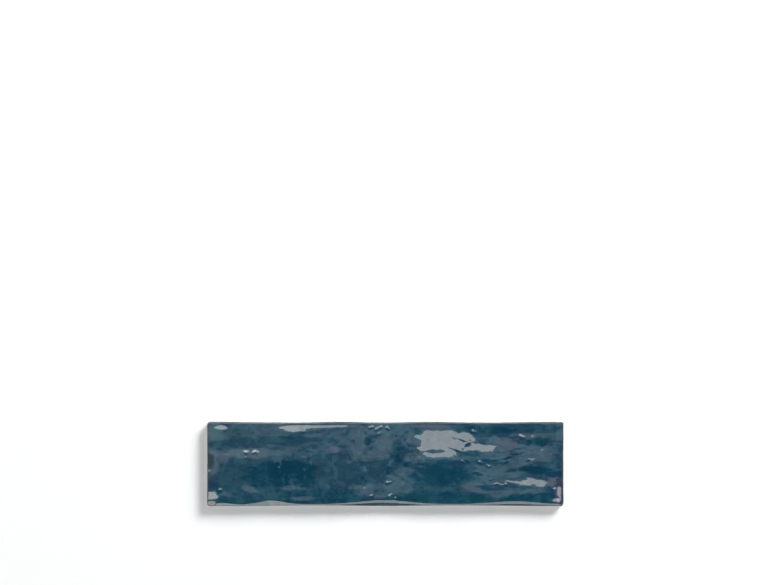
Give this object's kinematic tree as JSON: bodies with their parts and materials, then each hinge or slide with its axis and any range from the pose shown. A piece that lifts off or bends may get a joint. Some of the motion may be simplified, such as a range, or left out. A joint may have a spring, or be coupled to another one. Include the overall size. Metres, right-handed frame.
{
  "type": "wall tile",
  "caption": "Oblong glazed ceramic wall tile with an uneven, hand-pressed face, soft edges and a ribbed back for adhesive.",
  "frame": {"origin": "centre of the back, on the plane that the tile lies on", "axes": "+X along the tile's length, +Y across its width towards the edge that is uppermost in the picture, +Z out of the glazed face"},
  "size_m": [0.25, 0.059, 0.0093],
  "materials": {
    "glaze": "glossy teal-blue glaze over a buff clay body"
  },
  "bodies": {
    "root": {"wall_tile": "glaze"}
  },
  "joints": []
}
